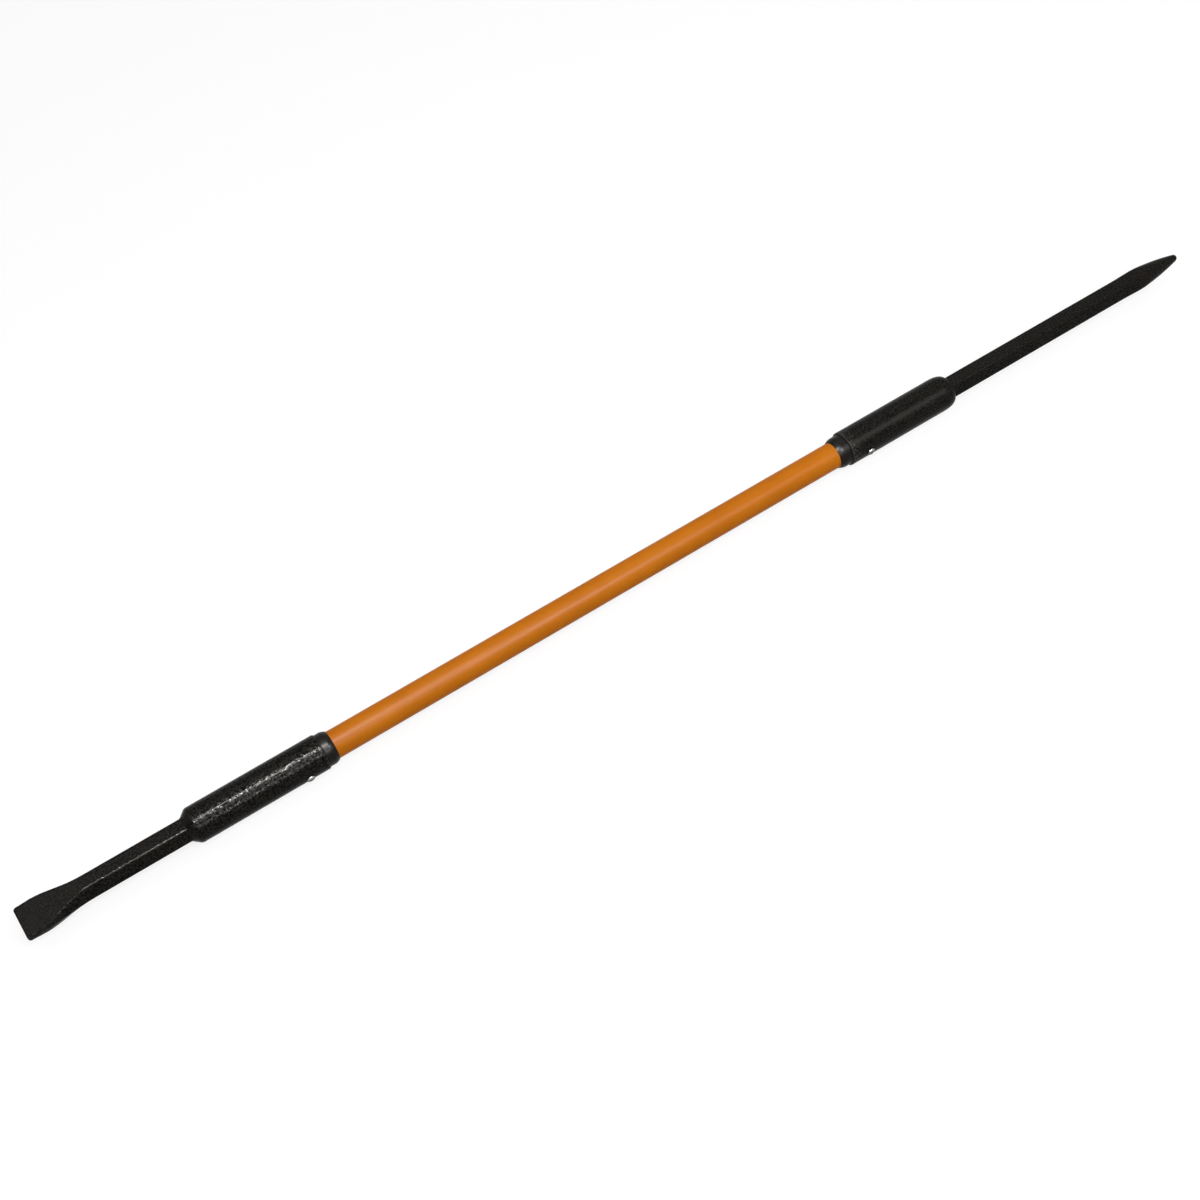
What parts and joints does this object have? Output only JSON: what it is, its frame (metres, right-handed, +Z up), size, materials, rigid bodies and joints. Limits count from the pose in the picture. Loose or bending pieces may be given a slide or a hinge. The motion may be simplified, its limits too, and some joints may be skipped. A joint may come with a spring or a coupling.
{
  "type": "insulated crowbar",
  "caption": "Straight insulated crowbar: an orange sheathed shaft between black forged chisel and point heads, each socketed, bonded and riveted, with a moulded collar at its mouth.",
  "frame": {"origin": "under the middle of the bar's length, on the surface that it lies on", "axes": "+X along the bar from the chisel to the point, +Z up, square to the flat of the chisel's blade, which lies level; the rivet heads are on the -Y side"},
  "size_m": [1.524, 0.0432, 0.041],
  "materials": {
    "black_forging": "grainy black paint on forged steel, satin",
    "orange_sheath": "satin, smooth, with faint lengthwise scuffs",
    "black_moulding": "satin moulded",
    "bright_steel": "bright zinc-plated",
    "grey_steel": "dull snapped steel",
    "glass_fibre": "pale pultruded glass fibre, satin",
    "cured_adhesive": "dull cured adhesive"
  },
  "bodies": {
    "root": {"chisel_head": "black_forging", "point_head": "black_forging", "insulating_sheath": "orange_sheath", "core_rod": "glass_fibre", "chisel_collar": "black_moulding", "point_collar": "black_moulding", "chisel_bond": "cured_adhesive", "point_bond": "cured_adhesive", "chisel_rivet_body": "bright_steel", "point_rivet_body": "bright_steel", "chisel_rivet_mandrel": "grey_steel", "point_rivet_mandrel": "grey_steel"}
  },
  "joints": []
}
